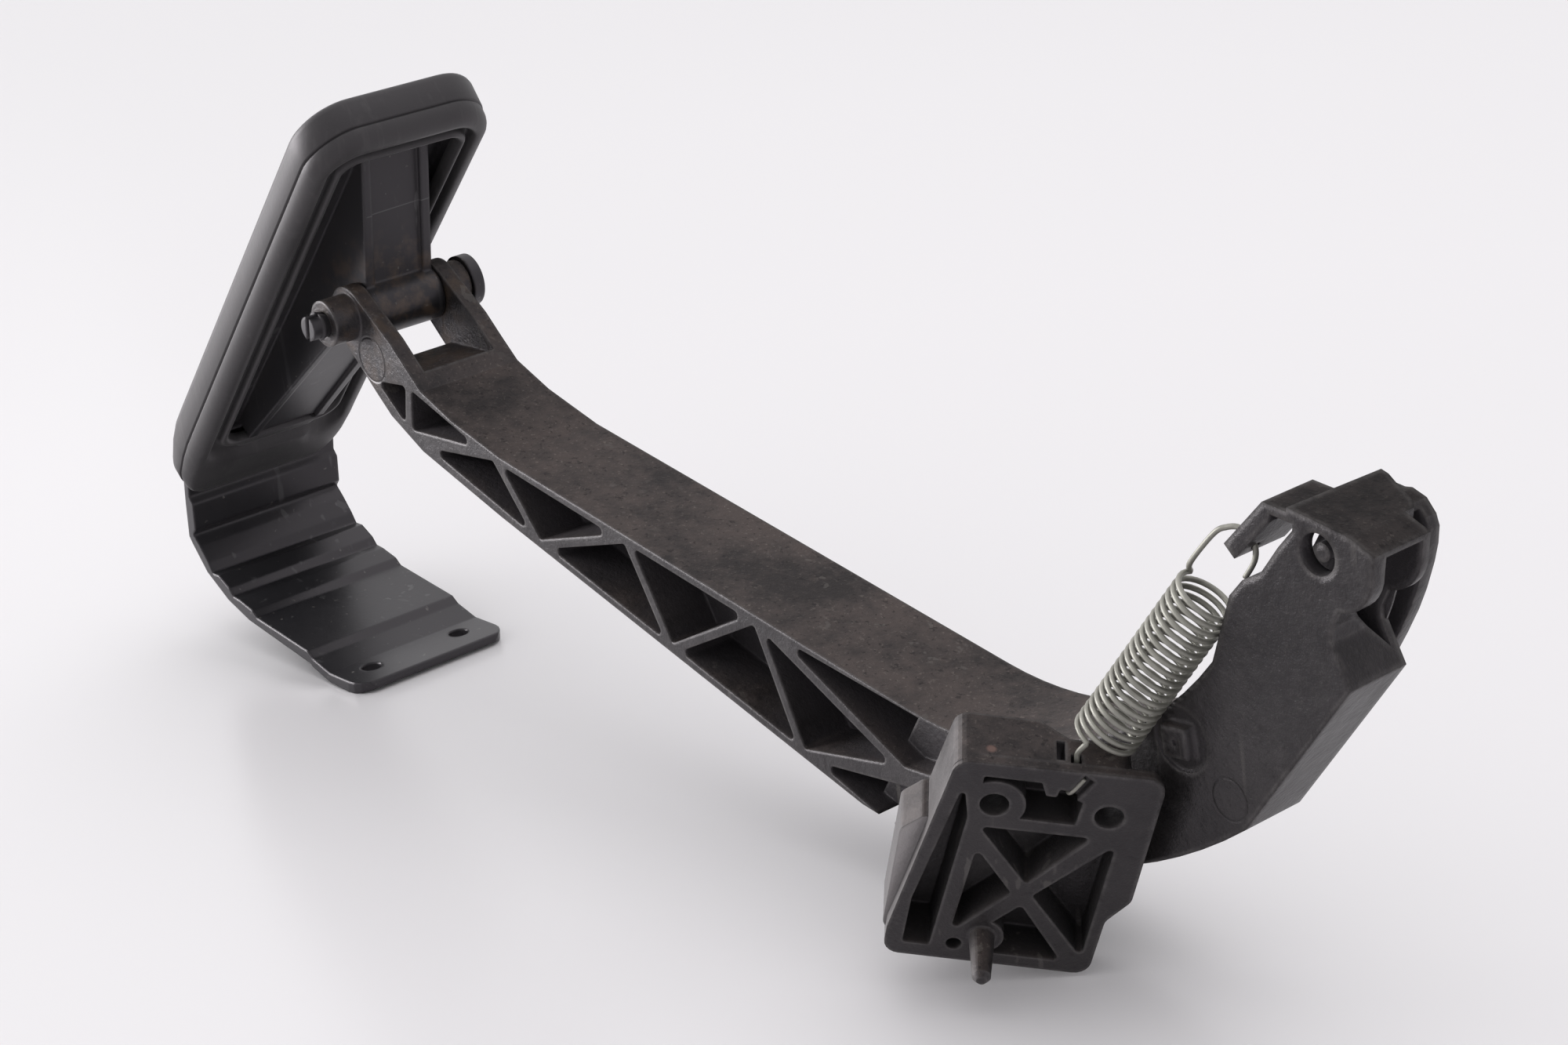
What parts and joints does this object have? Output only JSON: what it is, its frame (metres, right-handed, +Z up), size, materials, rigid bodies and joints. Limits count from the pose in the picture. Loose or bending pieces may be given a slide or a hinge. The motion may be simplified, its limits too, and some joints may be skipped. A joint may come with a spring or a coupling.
{
  "type": "accelerator pedal",
  "caption": "Accelerator pedal with a rubber pad on a flexible strap, a truss-ribbed lever ending in a cable quadrant, and a pivot bracket with its return spring.",
  "frame": {"origin": "centre of the bracket's upper left bolt hole, in its mounting face", "axes": "+X from the pad towards the cable head, +Y along the pivot pin, +Z up as the part lies on a flat surface"},
  "size_m": [0.4062, 0.0693, 0.1543],
  "materials": {
    "dusty_plastic": "moulded black glass-filled plastic, dusty",
    "black_plastic": "smooth black plastic",
    "rubber": "matte rubber, finely grained",
    "spring_steel": "galvanised wire",
    "pin_steel": "turned steel"
  },
  "bodies": {
    "bracket_group": {"bracket": "dusty_plastic", "pivot_pin": "pin_steel", "return_spring": "spring_steel"},
    "lever_group": {"lever": "dusty_plastic", "fork_pin": "black_plastic"},
    "pad_group": {"pedal_plate": "black_plastic", "pad_cover": "rubber"}
  },
  "joints": [
    {"name": "lever_hinge", "type": "hinge", "parent": "bracket_group", "child": "lever_group", "pos_m": [-0.02489, 0.0353, -0.0188], "axis": [0, -1, 0], "range_deg": [0, 18], "stiffness_Nm_per_rad": 0.5, "springref_deg": -57.3, "deforming": ["return_spring"]},
    {"name": "pad_hinge", "type": "hinge", "parent": "lever_group", "child": "pad_group", "pos_m": [-0.24325, 0.0353, 0.05511], "axis": [0, -1, 0], "range_deg": [-10, 10]}
  ]
}
